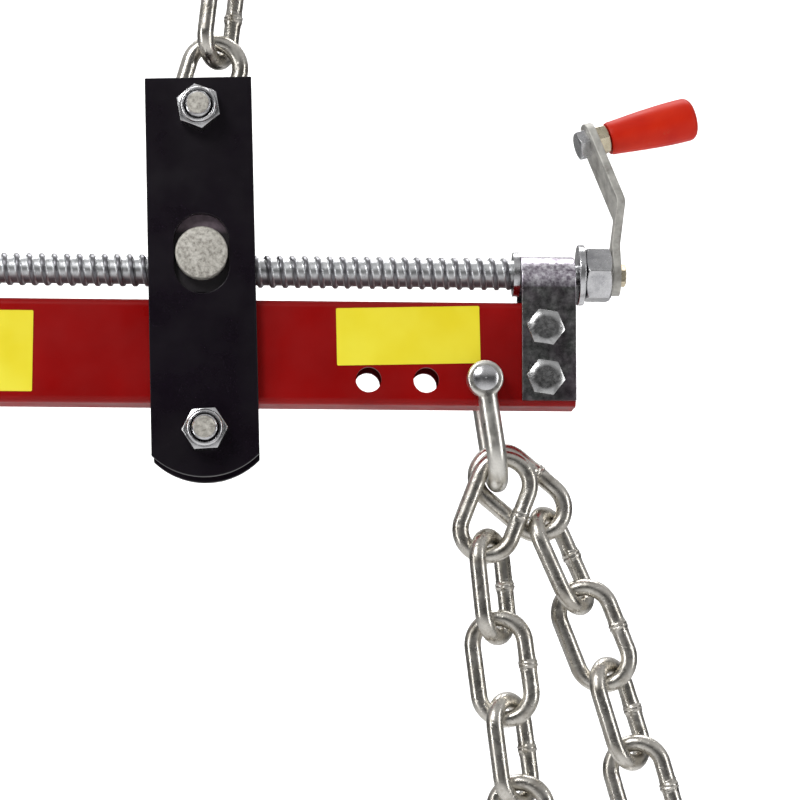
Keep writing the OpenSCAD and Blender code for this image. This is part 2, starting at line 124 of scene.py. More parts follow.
class Graph(Nodes):
    """A node material in object coordinates."""

    def __init__(self, name):
        self.material = bpy.data.materials.new(name)
        self.material.use_nodes = True
        super().__init__(self.material.node_tree)
        self.shader = self.tree.nodes["Principled BSDF"]
        self.coords = self.node("ShaderNodeTexCoord").outputs["Object"]

    def noise(self, scale, detail=3.0, rough=0.55, offset=0.0):
        place = self.node("ShaderNodeMapping", Vector=self.coords)
        place.inputs["Location"].default_value = (offset, offset * 0.7, -offset)
        made = self.node(
            "ShaderNodeTexNoise", Vector=place.outputs[0], Scale=scale, Detail=detail, Roughness=rough
        )
        return made.outputs["Fac"]

    def vary(self, scale, low, high, *shape):
        """Noise stretched to run from low to high; shape is the noise's other settings."""
        return self.span(self.noise(scale, *shape), 0.3, 0.7, low, high)

    def height(self):
        return self.node("ShaderNodeSeparateXYZ", Vector=self.coords).outputs["Z"]

    def bump(self, *layers):
        """Layers of (height socket, strength, distance in metres), finest last."""
        normal = None
        for height, strength, distance in layers:
            made = self.node("ShaderNodeBump", Height=height, Strength=strength, Distance=distance)
            if normal is not None:
                self.put(made.inputs["Normal"], normal)
            normal = made.outputs["Normal"]
        self.put(self.shader.inputs["Normal"], normal)

    def done(self, **inputs):
        for key, value in inputs.items():
            if key == "colour":
                key, value = "Base Color", value if not isinstance(value, tuple) else (*value, 1)
            self.put(self.shader.inputs[key.replace("_", " ")], value)
        return self.material


def shade(colour, factor):
    return tuple(c * factor for c in colour)


def make_metal(name, light, dark, rough, patch=55.0, grain=900.0, grain_depth=0.02, pits=0.0):
    """Metal with patches (noise scale per metre) of two tones, a fine grain and, if asked, pits."""
    g = Graph(name)
    fine = g.noise(grain, 2, 0.6, 3.0)
    colour = g.ramp(g.noise(patch, 4, 0.6), [(0.3, dark), (0.48, shade(light, 0.9)), (0.66, light)])
    colour = g.mix(g.span(fine, 0.35, 0.65, 0.0, 0.22), colour, shade(dark, 0.8))
    layers = [(g.noise(patch * 3, 3, 0.5, 1.0), 0.10, 0.0006), (fine, grain_depth * 10, 0.00008)]
    if pits:
        layers.append((g.span(g.noise(430, 2, 0.5, 11.0), 0.28, 0.4, 0.0, 1.0), pits, 0.0003))
    g.bump(*layers)
    roughness = g.vary(patch * 2.3, rough * 0.72, rough * 1.35, 3, 0.6, 7.0)
    return g.done(colour=colour, Metallic=1.0, Roughness=roughness)


def make_paint(name, colour, rough, dust, coat, shine):
    """Paint with an orange-peel surface, broad shifts of tone and specks of dust."""
    g = Graph(name)
    base = g.mix(g.vary(16, 0.0, 1.0, 3, 0.5), shade(colour, 0.82), shade(colour, 1.12))
    specks = g.span(g.noise(620, 2, 0.7, 5.0), 0.66, 0.74, 0.0, 0.35)
    base = g.mix(specks, base, dust)
    g.bump((g.noise(330, 2, 0.5, 9.0), 0.08, 0.0002))
    return g.done(
        colour=base,
        Roughness=g.vary(40, rough * 0.7, rough * 1.4, 4, 0.6, 2.0),
        Coat_Weight=coat,
        Coat_Roughness=0.12,
        Specular_IOR_Level=shine,
    )


def make_labels():
    """Yellow vinyl."""
    g = Graph("label_vinyl")
    base = g.mix(g.vary(30, 0.0, 1.0), (0.80, 0.66, 0.018), (0.86, 0.76, 0.040))
    g.bump((g.noise(120, 2, 0.5), 0.12, 0.0003))
    return g.done(colour=base, Roughness=g.vary(60, 0.30, 0.46), Coat_Weight=0.25)


def make_grip_plastic():
    """Orange-red moulded plastic with hand smudges."""
    g = Graph("grip_plastic")
    base = g.mix(g.vary(42, 0.0, 1.0, 4), (0.50, 0.012, 0.003), (0.62, 0.026, 0.005))
    smudge = g.span(g.noise(150, 4, 0.7, 4.0), 0.60, 0.72, 0.0, 0.35)
    base = g.mix(smudge, base, (0.45, 0.06, 0.03))
    g.bump((g.noise(500, 2, 0.5), 0.10, 0.0001))
    return g.done(colour=base, Roughness=g.vary(80, 0.36, 0.50), Specular_IOR_Level=0.16)


def make_turned_face():
    """Dull, faintly speckled end of a turned pin."""
    g = Graph("trunnion_steel")
    grain = g.noise(620, 3, 0.65)
    tones = [(0.34, (0.30, 0.28, 0.25)), (0.5, (0.52, 0.50, 0.45)), (0.64, (0.66, 0.64, 0.59))]
    worn = g.span(g.noise(90, 4, 0.6), 0.35, 0.7, 0.0, 0.35)
    colour = g.mix(worn, g.ramp(grain, tones), (0.36, 0.34, 0.30))
    g.bump((grain, 0.35, 0.0002), (g.noise(150, 2), 0.15, 0.0005))
    return g.done(colour=colour, Metallic=0.55, Roughness=g.span(grain, 0.3, 0.7, 0.45, 0.68))


def make_block_steel():
    """Dark block with painted light: its upper part, where it shows in the upper part of the slot, is painted a
    lighter grey as if lit from above.
    """
    g = Graph("block_steel")
    pin = joint_at("beam_tilt")[2]
    # painted light: above this height the block is painted lighter grey, as if lit from above
    painted_lit_top = g.span(g.height(), pin + 10 * MM, pin + 13 * MM, 0.0, 1.0)
    colour = g.mix(painted_lit_top, (0.012, 0.009, 0.012), (0.16, 0.12, 0.145))
    colour = g.mix(g.span(g.noise(320, 3), 0.4, 0.7, 0.0, 0.4), colour, (0.03, 0.025, 0.03))
    g.bump((g.noise(500, 2), 0.2, 0.0002))
    return g.done(colour=colour, Metallic=0.3, Roughness=0.5)


def make_forged_steel():
    """Grey forged bar with a dull skin of scale and plating."""
    g = Graph("crank_steel")
    tones = [(0.32, (0.24, 0.23, 0.21)), (0.5, (0.40, 0.39, 0.36)), (0.66, (0.52, 0.51, 0.47))]
    colour = g.ramp(g.noise(130, 4, 0.65), tones)
    grain = g.noise(700, 2, 0.6, 3.0)
    g.bump((g.noise(260, 3), 0.25, 0.0004), (grain, 0.2, 0.0001))
    return g.done(colour=colour, Metallic=0.45, Roughness=g.span(grain, 0.3, 0.7, 0.36, 0.6))


def make_thread_steel():
    """Zinc on the lead screw: bright in the grooves, with painted shade on the ridges and on the underside, where
    it also dims the reflection.
    """
    g = Graph("zinc_thread")
    lo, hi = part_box("lead_screw")
    crest = (hi.z - lo.z) / 2
    axis = joint_at("screw_turn")
    across = g.node("ShaderNodeMapping", Vector=g.coords)
    across.inputs["Scale"].default_value = (0, 1, 1)
    across.inputs["Location"].default_value = (0, -axis[1], -axis[2])
    distance = g.node("ShaderNodeVectorMath", Vector=across.outputs[0])
    distance.operation = "LENGTH"
    fine = g.noise(900, 2, 0.6, 3.0)
    tones = [(0.3, (0.52, 0.53, 0.54)), (0.5, (0.76, 0.77, 0.78)), (0.66, (0.88, 0.89, 0.90))]
    colour = g.ramp(g.noise(160, 4, 0.6), tones)
    colour = g.mix(g.span(fine, 0.35, 0.65, 0.0, 0.25), colour, (0.38, 0.39, 0.40))
    # painted shade: the ridges are painted darker towards the crest
    painted_ridge_shade = g.span(distance.outputs["Value"], crest - 0.70 * MM, crest - 0.15 * MM, 0.0, 0.80)
    colour = g.mix(painted_ridge_shade, colour, (0.095, 0.09, 0.105))
    # painted shade: faces turned down are painted dark and made less metallic, which damps their reflection
    facing = g.node("ShaderNodeNewGeometry").outputs["Normal"]
    below = g.node("ShaderNodeSeparateXYZ", Vector=facing).outputs["Z"]
    under = g.span(below, -0.75, -0.30, 1.0, 0.0)
    colour = g.mix(under, colour, (0.12, 0.12, 0.13))
    g.bump((g.noise(380, 3), 0.2, 0.0003), (fine, 0.3, 0.00008))
    return g.done(
        colour=colour,
        Metallic=g.span(under, 0, 1, 1.0, 0.1),
        Specular_IOR_Level=0.2,
        Roughness=g.span(fine, 0.3, 0.7, 0.26, 0.44),
    )


def make_bracket_steel():
    """Dark zinc on the flat sides; over the bend the colour is painted lighter and violet, a painted highlight for
    the light the bend catches.
    """
    g = Graph("bracket_steel")
    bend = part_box("bracket_right")[1].z - 17.2 * MM
    fine = g.noise(420, 4, 0.7)
    flat_tones = [(0.34, (0.10, 0.105, 0.10)), (0.5, (0.20, 0.205, 0.20)), (0.66, (0.34, 0.34, 0.335))]
    # painted highlight: the bend's lighter tones stand for the light it catches
    bend_highlight_tones = [(0.36, (0.20, 0.17, 0.21)), (0.5, (0.50, 0.46, 0.52)), (0.62, (0.80, 0.78, 0.82))]
    flat, bent = g.ramp(fine, flat_tones), g.ramp(fine, bend_highlight_tones)
    tint = g.mix(g.span(g.noise(60, 3), 0.4, 0.62, 0.0, 0.5), flat, (0.21, 0.15, 0.20))
    colour = g.mix(g.span(g.height(), bend, bend + 1 * MM, 0.0, 1.0), tint, bent)
    g.bump((g.noise(240, 3, 0.6), 0.2, 0.0004), (fine, 0.2, 0.0001))
    return g.done(colour=colour, Metallic=1.0, Roughness=g.vary(200, 0.24, 0.44, 3))


# Light tone, dark tone, roughness, noise scales of patches and grain, grain depth, pits.
METALS = {
    "chain_steel": ((0.74, 0.71, 0.65), (0.40, 0.37, 0.32), 0.27, 90, 700, 0.025, 0.25),
    "shackle_steel": ((0.88, 0.86, 0.80), (0.60, 0.58, 0.53), 0.34, 110, 800, 0.02),
    "dark_steel": ((0.10, 0.095, 0.105), (0.04, 0.035, 0.042), 0.42, 60, 500, 0.03),
    "zinc_plate": ((0.74, 0.74, 0.75), (0.42, 0.42, 0.44), 0.24, 120, 900, 0.015),
    "bolt_steel": ((0.62, 0.62, 0.62), (0.30, 0.30, 0.30), 0.26, 200, 800, 0.03),
    "yellow_zinc": ((0.78, 0.70, 0.52), (0.50, 0.42, 0.28), 0.28, 140, 700, 0.02),
    "tab_steel": ((0.58, 0.57, 0.55), (0.33, 0.32, 0.31), 0.34, 60, 600, 0.03),
}
MATERIALS = {name: make_metal(name, *settings) for name, settings in METALS.items()} | {
    "black_paint": make_paint(
        "black_paint", (0.0045, 0.0022, 0.0055), 0.30, (0.02, 0.014, 0.022), coat=0.10, shine=0.25
    ),
    "red_paint": make_paint(
        "red_paint", (0.26, 0.0008, 0.0008), 0.36, (0.26, 0.004, 0.003), coat=0.04, shine=0.16
    ),
    "bracket_steel": make_bracket_steel(),
    "trunnion_steel": make_turned_face(),
    "zinc_thread": make_thread_steel(),
    "crank_steel": make_forged_steel(),
    "block_steel": make_block_steel(),
    "label_vinyl": make_labels(),
    "grip_plastic": make_grip_plastic(),
}
SLOT_OF = {row["node"]: row["material_slot"] for row in frame["record"]["subparts"]}

# ---------------------------------------------------------------- mesh tools


class Shape:
    """Vertices and faces gathered from several simple solids."""

    def __init__(self):
        self.verts = []
        self.faces = []

    def add(self, verts, faces, matrix=None):
        verts = np.asarray(verts, float)
        if matrix is not None:
            matrix = np.asarray(matrix, float)
            verts = verts @ matrix[:3, :3].T + matrix[:3, 3]
        start = len(self.verts)
        self.verts.extend(verts.tolist())
        self.faces.extend([tuple(i + start for i in f) for f in faces])
        return self


def rings_to_faces(count, sides, closed=False, caps=True):
    faces = []
    for i in range(count if closed else count - 1):
        a, b = i * sides, ((i + 1) % count) * sides
        for k in range(sides):
            n = (k + 1) % sides
            faces.append((a + k, a + n, b + n, b + k))
    if caps and not closed:
        faces.append(tuple(reversed(range(sides))))
        faces.append(tuple(range((count - 1) * sides, count * sides)))
    return faces


def lathe(profile, sides=64, hollow=False):
    """Turns (radius, z) pairs about Z. A hollow profile closes on itself."""
    a = np.linspace(0, TAU, sides, endpoint=False)
    verts = [(r * math.cos(t), r * math.sin(t), z) for r, z in profile for t in a]
    return verts, rings_to_faces(len(profile), sides, hollow, not hollow)


def sweep(path, normal, radius, sides=20, closed=True):
    """Round wire along a flat path; radius is one number or one for each point."""
    path = np.asarray(path, float)
    if closed:
        along = np.roll(path, -1, 0) - np.roll(path, 1, 0)
    else:
        along = np.gradient(path, axis=0)
    along /= np.linalg.norm(along, axis=1)[:, None]
    normal = np.asarray(normal, float)
    side = np.cross(along, normal)
    radius = np.broadcast_to(np.asarray(radius, float), len(path))
    a = np.linspace(0, TAU, sides, endpoint=False)
    ring = np.cos(a)[None, :, None] * side[:, None, :] + np.sin(a)[None, :, None] * normal
    verts = path[:, None, :] + radius[:, None, None] * ring
    return verts.reshape(-1, 3), rings_to_faces(len(path), sides, closed)


def hexagon(af, h, hole=0.0, face=0.46):
    """
    Hexagon nut, or a bolt's head when hole is 0, from z = 0 up. Its corners are turned off
    outside the radius face * af, at both ends of a nut and at the top of a head.
    """
    sides = 72
    a = np.linspace(0, TAU, sides, endpoint=False)
    corner = af / 2 / np.cos((a + math.pi / 6) % (math.pi / 3) - math.pi / 6)
    drop = (corner - face * af) * math.tan(math.radians(28))
    if hole:
        top = [(hole, 0.6 * MM), (hole, h - 0.7 * MM), (hole + 0.7 * MM, h)]
        low = [(corner, drop), (face * af, 0), (hole + 0.6 * MM, 0)]
    else:
        top = [(0.02 * af, h), (0.3 * af, h)]
        low = [(corner, 0), (face * af, 0), (0.02 * af, 0)]
    rows = top + [(face * af, h), (corner, h - drop)] + low
    verts = []
    for r, z in rows:
        r, z = np.broadcast_to(r, sides), np.broadcast_to(z, sides)
        verts += np.stack([r * np.cos(a), r * np.sin(a), z], axis=1).tolist()
    if hole:
        return verts, rings_to_faces(len(rows), sides, True)
    return verts, [tuple(reversed(f)) for f in rings_to_faces(len(rows), sides)]


def thread(radius, depth, pitch, start, end, sides, steps, fade=1.0):
    """Right-hand helical thread about Z, with steps rows a turn, fading out at both ends."""
    rows = int(round((end - start) / pitch * steps)) + 1
    z = np.linspace(start, end, rows)[:, None]
    a = np.linspace(0, TAU, sides, endpoint=False)[None, :]
    phase = (z / pitch - a / TAU) % 1.0
    wave = np.clip(np.cos(TAU * phase) + 0.15, 0, 1)
    wave = wave * wave * (3 - 2 * wave)
    run = np.minimum(z - start, end - z) / (fade * pitch)
    wave = wave * np.clip(run, 0, 1)
    r = radius - depth * (1 - wave)
    verts = np.stack([r * np.cos(a), r * np.sin(a), np.broadcast_to(z, r.shape)], axis=-1)
    return verts.reshape(-1, 3), rings_to_faces(rows, sides)


def slab(loops, thickness, soft):
    """Flat plate round z = 0 with edges rounded by soft; loops after the first are its holes."""
    curve = bpy.data.curves.new("slab", "CURVE")
    curve.dimensions = "2D"
    curve.fill_mode = "BOTH"
    curve.extrude = thickness / 2 - soft
    curve.bevel_depth = soft
    curve.bevel_resolution = 3
    curve.offset = -soft
    for loop in loops:
        spline = curve.splines.new("POLY")
        spline.points.add(len(loop) - 1)
        for point, (x, y) in zip(spline.points, loop):
            point.co = (x, y, 0, 1)
        spline.use_cyclic_u = True
    obj = bpy.data.objects.new("slab", curve)
    bpy.context.scene.collection.objects.link(obj)
    bpy.context.view_layer.update()
    mesh = bpy.data.meshes.new_from_object(obj.evaluated_get(bpy.context.evaluated_depsgraph_get()))
    verts = [tuple(v.co) for v in mesh.vertices]
    faces = [tuple(p.vertices) for p in mesh.polygons]
    bpy.data.objects.remove(obj)
    bpy.data.curves.remove(curve)
    bpy.data.meshes.remove(mesh)
    return verts, faces


def circle(y, r, count):
    a = np.linspace(0, TAU, count, endpoint=False)
    return [(r * math.cos(t), y + r * math.sin(t)) for t in a]


CORNERS = ((1, 1), (-1, 1), (-1, -1), (1, -1))


def rounded_box(w, h, r, count=8):
    loop = []
    for quarter, (sx, sy) in enumerate(CORNERS):
        for k in range(count + 1):
            t = (quarter + k / count) * math.pi / 2
            loop.append((sx * (w / 2 - r) + r * math.cos(t), sy * (h / 2 - r) + r * math.sin(t)))
    return loop


def build(name, shape, body, node, slot, bevel=0.0, sharp=32.0, finish=None):
    """
    Makes the piece, shades it, and lets it ride on its body in place of the node. Edges
    turning more than sharp degrees stay sharp; finish is a material other than the slot's.
    """
    mesh = bpy.data.meshes.new(name)
    mesh.from_pydata(shape.verts, [], shape.faces)
    work = bmesh.new()
    work.from_mesh(mesh)
    bmesh.ops.remove_doubles(work, verts=work.verts, dist=1e-7)
    bmesh.ops.recalc_face_normals(work, faces=work.faces)
    for face in work.faces:
        face.smooth = True
    for edge in work.edges:
        if len(edge.link_faces) == 2 and edge.calc_face_angle() > math.radians(sharp):
            edge.smooth = False
    work.to_mesh(mesh)
    work.free()
    obj = bpy.data.objects.new(name, mesh)
    bpy.context.scene.collection.objects.link(obj)
    mesh.materials.append(MATERIALS[finish or slot])
    if bevel:
        edges = obj.modifiers.new("edges", "BEVEL")
        edges.width = bevel
        edges.segments = 2
        edges.limit_method = "ANGLE"
        edges.angle_limit = math.radians(sharp)
    weighted = obj.modifiers.new("normals", "WEIGHTED_NORMAL")
    weighted.keep_sharp = True
    weighted.weight = 80
    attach(obj, body)
    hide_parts(node)
    return obj


def turned_to(axis, at, spin=0.0):
    """Matrix that takes local +Z to axis and the origin to at, after a spin about Z."""
    axis = Vector(axis).normalized()
    turn = axis.to_track_quat("Z", "Y").to_matrix().to_4x4()
    return np.array(Matrix.Translation(Vector(at)) @ turn @ Matrix.Rotation(math.radians(spin), 4, "Z"))


def frame_of(x, y, z, at):
    """Matrix that takes the local axes to x, y and z and the origin to at."""
    m = np.eye(4)
    m[:3, 0], m[:3, 1], m[:3, 2], m[:3, 3] = x, y, z, at
    return m


# ---------------------------------------------------------------- CAD nodes kept as they are


def dress_cad_nodes():
    for name, obj in CAD.items():
        obj.data.materials.clear()
        obj.data.materials.append(MATERIALS[SLOT_OF[name]])


# ---------------------------------------------------------------- chain

WIRE_R = 4 * MM
BOW_R = 12.5 * MM  # middle of the wire, round the link's ends
LEG = 23 * MM
WIRE_SIDES = 24


def link_path():
    """Round the link from the middle of its +X leg, where the weld is."""
    legs = np.linspace(0, LEG / 2, 7)[:-1]
    arc = np.linspace(0, math.pi, 30)
    path = [(BOW_R, 0, z) for z in legs]
    path += [(BOW_R * math.cos(t), 0, LEG / 2 + BOW_R * math.sin(t)) for t in arc]
    path += [(-BOW_R, 0, LEG / 2 - z) for z in np.linspace(0, LEG, 12)[1:-1]]
    path += [(-BOW_R * math.cos(t), 0, -LEG / 2 - BOW_R * math.sin(t)) for t in arc]
    path += [(BOW_R, 0, -LEG / 2 + z) for z in legs[1:]]
    return np.array(path)


def bell(distance, width):
    return np.exp(-((distance / width) ** 2))


def welded_wire(path, weld_at, rng):
    """The link's wire, swelling into an upset weld with the flash that grinding leaves."""
    reach, gap = 3.2 * MM, 3.6 * MM
    extra = np.array([weld_at + np.array([0, 0, z]) for z in np.linspace(-reach, reach, 17)])
    keep = np.array([p for p in path if abs(p[2] - weld_at[2]) > gap or p[0] * weld_at[0] < 0])
    start = np.argmax([p[2] > weld_at[2] and p[0] > 0 for p in keep])
    path = np.vstack([extra, np.roll(keep, -start, 0)])
    near = np.linalg.norm(path - weld_at, axis=1) < gap + 0.1 * MM
    offset = np.where(near, path[:, 2] - weld_at[2], 1.0)
    swell = 0.42 * bell(offset, 2.3 * MM) + 0.34 * bell(np.abs(offset) - 0.9 * MM, 0.45 * MM)
    verts, faces = sweep(path, (0, 1, 0), WIRE_R + swell * MM, WIRE_SIDES)
    verts = verts.reshape(len(path), WIRE_SIDES, 3)
    centre = path[:, None, :]
    rough = 1 + (swell[:, None] > 0.05) * rng.normal(0, 0.022, (len(path), WIRE_SIDES))
    verts = centre + (verts - centre) * rough[:, :, None]
    return verts.reshape(-1, 3), faces


def placed_like(node):
    """The frame of a CAD link: Z along it and up, X towards the leg with the weld."""
    mesh = CAD[node].data
    co = np.array([v.co for v in mesh.vertices])
    tri = [p.vertices for p in mesh.polygons]
    a, b, c = (co[[t[k] for t in tri]] for k in range(3))
    area = np.linalg.norm(np.cross(b - a, c - a), axis=1) / 2
    mid = (a + b + c) / 3
    centre = (mid * area[:, None]).sum(0) / area.sum()
    spread = ((mid - centre) * area[:, None]).T @ (mid - centre)
    _, axes = np.linalg.eigh(spread)
    z, x = axes[:, 2], axes[:, 1]
    z = z if z[2] > 0 else -z
    along, across = (co - centre) @ z, (co - centre) @ x
    if across.max() < -across.min():
        x, across = -x, -across
    ends = np.abs(along) > 14 * MM  # clear of the weld
    y = np.cross(z, x)
    centre = centre + z * (along.max() + along.min()) / 2
    centre = centre + x * (across[ends].max() + across[ends].min()) / 2
    return frame_of(x, y, z, centre)


def make_links():
    rng = np.random.default_rng(7)
    path = link_path()
    for node in sorted(n for n in CAD if "_link_" in n):
        weld_at = np.array([BOW_R, 0, rng.uniform(-0.6, 0.6) * MM])
        shape = Shape().add(*welded_wire(path, weld_at, rng), placed_like(node))
        build("link_" + node, shape, node, node, "chain_steel")


def make_lift_ring():
    lo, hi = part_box("lift_ring")
    wire = (hi.x - lo.x) / 2
    radius = (hi.z - lo.z) / 2 - wire
    weld_angle = 1.9
    t = np.linspace(0, TAU, 120, endpoint=False)
    swell = 0.5 * MM * bell((t - weld_angle) * radius, 2.4 * MM)
    path = np.stack([0 * t, radius * np.cos(t), radius * np.sin(t)], axis=1)
    shape = Shape().add(*sweep(path, (1, 0, 0), wire + swell, 28))
    build("ring_forged", shape, "lift_ring", "lift_ring", "chain_steel")


# ---------------------------------------------------------------- shackles


def make_shackle(side):
    """Bent round bar with a flat eye at each end, fused and smoothed as a forging is."""
    node = "shackle_" + side
    pin = joint_at(f"shackle_{side}_swing")
    co = np.array([v.co for v in CAD[node].data.vertices])
    low = co[np.argsort(co[:, 2])[:40]].mean(0)
    down = np.array([low[0] - pin[0], 0, low[2] - pin[2]])
    down /= np.linalg.norm(down)
    place = frame_of((-down[2], 0, down[0]), (0, 1, 0), -down, pin)
    bow, wire, drop = 18.75 * MM, 4.75 * MM, 29.5 * MM
    eye, thick, soft = 8.7 * MM, 9.5 * MM, 1.6 * MM
    arc = np.linspace(0, math.pi, 48)
    legs = np.linspace(-3 * MM, -drop, 16)[:-1]
    path = [(0, -bow, z) for z in legs]
    path += [(0, -bow * math.cos(t), -drop - bow * math.sin(t)) for t in arc]
    path += [(0, bow, z) for z in legs[::-1]]
    shape = Shape().add(*sweep(path, (1, 0, 0), wire, 32, False), place)
    rim = [(math.sin(t), math.cos(t)) for t in np.linspace(0, math.pi / 2, 6)]
    half = [(eye - soft + soft * x, thick / 2 - soft + soft * z) for x, z in rim]
    half = [(0.0005 * MM, thick / 2)] + half
    profile = half + [(r, -z) for r, z in reversed(half)]
    for y in (-bow, bow):
        shape.add(*lathe(profile, 48), place @ turned_to(ACROSS, (0, y, 0)))
    obj = build("forged_" + node, shape, node, node, "shackle_steel", sharp=80)
    remesh = obj.modifiers.new("fuse", "REMESH")
    remesh.mode = "VOXEL"
    remesh.voxel_size = 0.55 * MM
    remesh.use_smooth_shade = True
    smooth = obj.modifiers.new("forge", "SMOOTH")
    smooth.factor = 0.5
    smooth.iterations = 5


# ---------------------------------------------------------------- screw and crank

SCREW_AT = joint_at("screw_turn")
JOURNAL_R = 4.75 * MM
END_NUT_AF = 24 * MM
END_NUT_H = 13 * MM
ARM_HALF = 2.1 * MM  # half the crank arm's thickness


def on_screw(x, spin=0.0, way=1):
    """Matrix that puts a turned part on the screw at x, facing the crank if way is 1."""
    return turned_to((way, 0, 0), (x, SCREW_AT[1], SCREW_AT[2]), spin)


def make_cap_screw():
    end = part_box("lead_screw")[1].x
    head = 3 * MM
    shape = Shape().add(*hexagon(9.6 * MM, head), on_screw(end - head, 12))
    build("crank_cap_screw", shape, "lead_screw", "lead_screw", "yellow_zinc", 0.12 * MM, 40)


def make_screw_washers():
    lo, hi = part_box("screw_washers")
    half, outer, soft = 1.6 * MM, 14.7 * MM, 0.4 * MM
    bore = JOURNAL_R + 0.1 * MM
    side = [(bore, half), (outer - soft, half), (outer, half - soft)]
    profile = [(r, -z) for r, z in side] + [(r, z) for r, z in reversed(side)]
    shape = Shape()
    for x in (lo.x + half, hi.x - half):
        shape.add(*lathe(profile, 72, True), on_screw(x))
    build("stamped_washers", shape, "lead_screw", "screw_washers", "zinc_plate", 0.15 * MM, 30)


def make_lead_screw():
    """Thread between the collars, a journal at each end and the stub that carries the arm."""
    lo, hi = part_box("lead_screw")
    collar_lo, collar_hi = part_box("thrust_collars")
    nut_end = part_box("screw_end_nuts")[1].x
    crest = (hi.z - lo.z) / 2
    shape = Shape()
    shape.add(*thread(crest, 1.15 * MM, 6 * MM, collar_lo.x, collar_hi.x, 56, 24), on_screw(0))
    soft = 0.8 * MM
    for way, tip, inner in ((1, nut_end + 0.1 * MM, collar_hi.x), (-1, lo.x, collar_lo.x)):
        length = abs(tip - inner)
        profile = [(JOURNAL_R, 0), (JOURNAL_R, length - soft), (JOURNAL_R - soft, length)]
        shape.add(*lathe(profile, 48), on_screw(inner, way=way))
    stub = 4.2 * MM
    shape.add(*lathe([(stub, 0), (stub, hi.x - nut_end - 1 * MM)], 40), on_screw(nut_end))
    build("threaded_screw", shape, "lead_screw", "lead_screw", "zinc_plate", sharp=50, finish="zinc_thread")


def make_end_nuts():
    lo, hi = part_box("screw_end_nuts")
    shape = Shape()
    for way, inner in ((-1, lo.x + END_NUT_H), (1, hi.x - END_NUT_H)):
        nut = hexagon(END_NUT_AF, END_NUT_H, JOURNAL_R + 0.05 * MM)
        shape.add(*nut, on_screw(inner, 30, way))
    build("turned_end_nuts", shape, "lead_screw", "screw_end_nuts", "zinc_plate", 0.2 * MM, 40)


def crank_frame():
    """Local Z runs from the screw's axis towards the grip, X along the screw."""
    up = joint_at("grip_spin") - SCREW_AT
    angle = math.atan2(-up[1], up[2])
    at = (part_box("screw_end_nuts")[1].x + ARM_HALF + 0.1 * MM, SCREW_AT[1], SCREW_AT[2])
    c, s = math.cos(angle), math.sin(angle)
    return frame_of((1, 0, 0), (0, c, s), (0, -s, c), at)


def rounded_path(points, radius):
    """Path of straight runs with each corner rounded to the radius."""
    points = [np.array(p, float) for p in points]
    path = [points[0]]
    for before, here, after in zip(points, points[1:], points[2:]):
        a, b = before - here, after - here
        a, b = a / np.linalg.norm(a), b / np.linalg.norm(b)
        half = math.acos(max(-1, min(1, a @ b))) / 2
        a, b = here + a * radius / math.tan(half), here + b * radius / math.tan(half)
        path += [(1 - t) ** 2 * a + 2 * t * (1 - t) * here + t * t * b for t in np.linspace(0, 1, 8)]
    path.append(points[-1])
    return np.array(path)


def resample(path, count):
    """The path's points and their distances along it, closer together near its ends."""
    step = np.r_[0, np.cumsum(np.linalg.norm(np.diff(path, axis=0), axis=1))]
    end = 0.14
    middle = np.linspace(end, 1 - end, count)
    s = np.r_[np.linspace(0, end, 14)[:-1], middle, np.linspace(1 - end, 1, 14)[1:]] * step[-1]
    return np.stack([np.interp(s, step, path[:, k]) for k in (0, 1)], axis=1), s, step[-1]


def make_crank_arm():
    """Flat bar with rounded ends, straight from the nut and leaning in above its knee."""
    lean, throw, over, soft = math.radians(17), 77 * MM, 10 * MM, 0.7 * MM
    knee = (4 * MM, 37.6 * MM)
    head = np.array([knee[0] - (throw - knee[1]) * math.tan(lean), throw])
    tip = head + over * np.array([-math.sin(lean), math.cos(lean)])
    line, s, total = resample(rounded_path([(0, -over), (0, 12 * MM), knee, tip], 9 * MM), 46)
    along = np.gradient(line, axis=0)
    along /= np.linalg.norm(along, axis=1)[:, None]
    rows = []
    for p, t, at in zip(line, along, s):
        edge = min(at, total - at, over)
        half = max(math.sqrt(max(0.0, over**2 - (over - edge) ** 2)), 0.05 * MM)
        round_y = min(soft, half * 0.9)
        for quarter, (side_y, side_n) in enumerate(CORNERS):
            for k in range(4):
                a = (quarter + k / 3) * math.pi / 2
                y = side_y * (half - round_y) + round_y * math.cos(a)
                n = side_n * (ARM_HALF - soft) + soft * math.sin(a)
                rows.append((p[0] + t[1] * n, y, p[1] - t[0] * n))
    shape = Shape().add(rows, rings_to_faces(len(line), 16), crank_frame())
    build("bent_crank_arm", shape, "lead_screw", "crank_arm", "shackle_steel", sharp=60, finish="crank_steel")


# ---------------------------------------------------------------- grip

GRIP_AT = joint_at("grip_spin")
GRIP_AXIS = np.array(JOINTS["grip_spin"]["axis"], float)
GRIP_AXIS /= np.linalg.norm(GRIP_AXIS)
GRIP_NUT_AF = 13 * MM
GRIP_NUT_H = 6.5 * MM


def on_grip(distance, spin=0.0, way=1):
    """Matrix that puts a turned part on the grip's bolt, this far from the arm's middle."""
    return turned_to(way * GRIP_AXIS, GRIP_AT + GRIP_AXIS * distance, spin)


